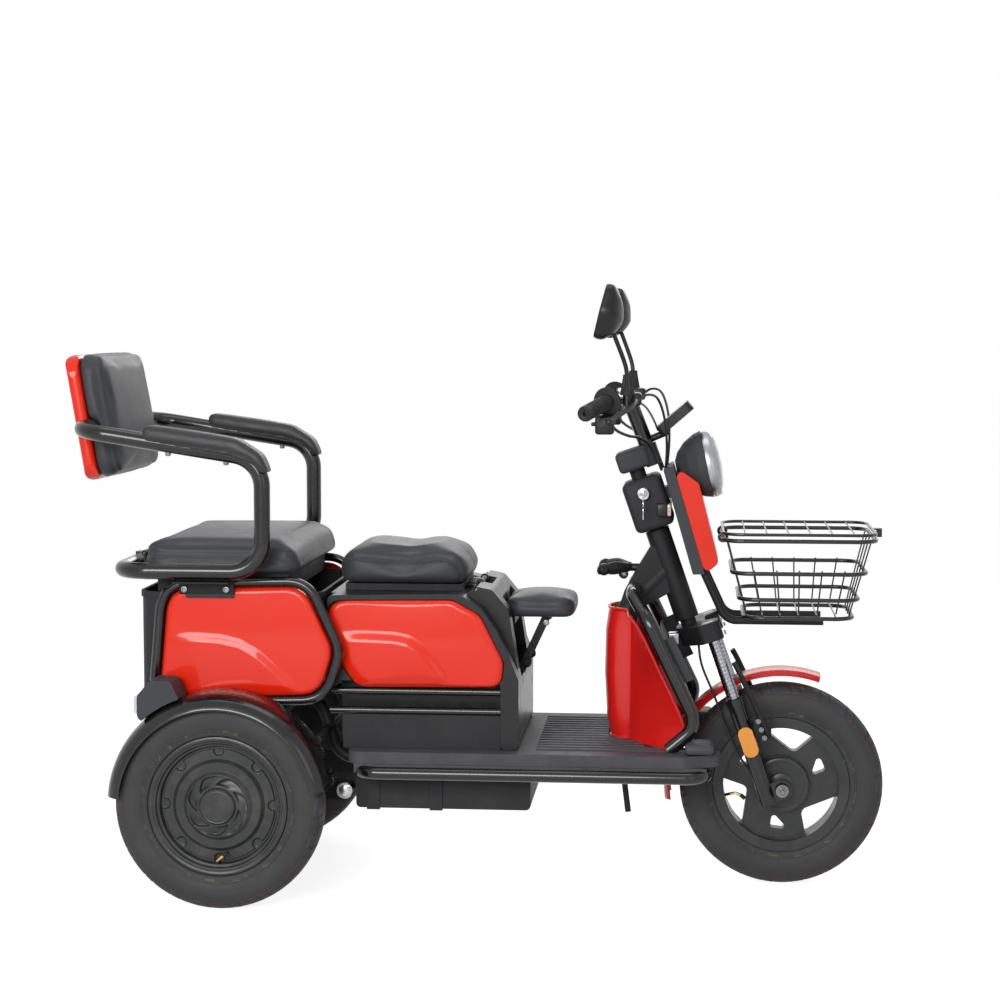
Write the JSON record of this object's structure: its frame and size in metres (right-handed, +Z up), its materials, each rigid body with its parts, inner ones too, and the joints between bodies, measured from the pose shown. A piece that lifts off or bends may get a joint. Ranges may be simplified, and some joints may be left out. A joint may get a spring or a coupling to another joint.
{
  "type": "electric tricycle",
  "caption": "Electric tricycle with a rider's saddle, child pad, rear bench with arms and backrest, front wire basket, steered front wheel and opening seats.",
  "frame": {"origin": "on the ground, under the middle of the overall box", "axes": "+X forward, +Y to the rider's left, +Z up"},
  "size_m": [1.6437, 0.71, 1.2192],
  "materials": {
    "frame_black": "satin black paint",
    "gloss_black": "gloss black paint",
    "black_plastic": "moulded, fine grain",
    "red_plastic": "gloss red",
    "leather": "grained, stitched",
    "foam": "skinned foam, grained",
    "rubber_grip": "ribbed rubber",
    "chrome": "bright",
    "spring_steel": "satin",
    "basket_wire": "powder coated black",
    "wheel_black": "satin black",
    "tyre": "matt rubber",
    "clear_lens": "silvered lens",
    "red_lens": "clear red",
    "amber_lens": "prismatic amber"
  },
  "bodies": {
    "chassis": {"main_frame": "frame_black", "head_column": "frame_black", "floorboard": "black_plastic", "side_tubes": "gloss_black", "battery_box": "black_plastic", "leg_shield": "red_plastic", "shield_arch": "gloss_black", "apron": "frame_black", "seat_box": "black_plastic", "seat_mouldings": "black_plastic", "front_side_panels": "red_plastic", "side_skirts": "black_plastic", "side_slot_tubes": "gloss_black", "rear_bin": "black_plastic", "rear_side_panels": "red_plastic", "rear_panel_loops": "gloss_black", "seat_hoop": "gloss_black", "arm_pads": "foam", "backrest_shell": "red_plastic", "backrest_cushion": "leather", "rear_fenders": "gloss_black", "tail_lamp_housings": "gloss_black", "tail_lamp_lenses": "red_lens", "rear_axle": "frame_black", "rear_shocks": "spring_steel", "child_pad": "leather", "child_pad_stay": "frame_black", "child_handle": "black_plastic", "brake_arm": "frame_black"},
    "steering": {"steering_stem": "frame_black", "fork_legs": "chrome", "fork_reflectors": "amber_lens", "front_axle": "chrome", "front_fender": "red_plastic", "handlebar": "gloss_black", "grips": "rubber_grip", "hand_controls": "black_plastic", "mirrors": "black_plastic", "display": "black_plastic", "ignition_box": "black_plastic", "panel_back": "black_plastic", "front_panel": "red_plastic", "headlamp_shell": "black_plastic", "headlamp_lens": "clear_lens", "basket_bracket": "frame_black", "basket": "basket_wire", "basket_wires": "basket_wire"},
    "front_wheel": {"front_rim": "wheel_black", "front_tyre": "tyre"},
    "rear_wheel_left": {"rear_rim_left": "wheel_black", "rear_tyre_left": "tyre"},
    "rear_wheel_right": {"rear_rim_right": "wheel_black", "rear_tyre_right": "tyre"},
    "basket_lid": {"basket_lid": "basket_wire"},
    "rear_seat": {"rear_seat_base": "black_plastic", "rear_cushion": "leather"},
    "saddle": {"saddle_base": "frame_black", "saddle_cushion": "leather"}
  },
  "joints": [
    {"name": "steer", "type": "hinge", "parent": "chassis", "child": "steering", "pos_m": [0.42654, 0, 0.543], "axis": [-0.3256, 0, 0.9455], "range_deg": [-40, 40]},
    {"name": "front_wheel_spin", "type": "hinge", "parent": "steering", "child": "front_wheel", "pos_m": [0.61954, 0, 0.2065], "axis": [0, 1, 0], "continuous": true},
    {"name": "rear_left_spin", "type": "hinge", "parent": "chassis", "child": "rear_wheel_left", "pos_m": [-0.48046, 0.3, 0.2065], "axis": [0, 1, 0], "continuous": true},
    {"name": "rear_right_spin", "type": "hinge", "parent": "chassis", "child": "rear_wheel_right", "pos_m": [-0.48046, -0.3, 0.2065], "axis": [0, 1, 0], "continuous": true},
    {"name": "basket_lid_hinge", "type": "hinge", "parent": "steering", "child": "basket_lid", "pos_m": [0.49754, 0, 0.716], "axis": [0, -1, 0], "range_deg": [0, 75]},
    {"name": "rear_seat_hinge", "type": "hinge", "parent": "chassis", "child": "rear_seat", "pos_m": [-0.66046, 0, 0.684], "axis": [0, -1, 0], "range_deg": [0, 75]},
    {"name": "saddle_hinge", "type": "hinge", "parent": "chassis", "child": "saddle", "pos_m": [0.00654, 0, 0.616], "axis": [0, 1, 0], "range_deg": [0, 80]}
  ]
}
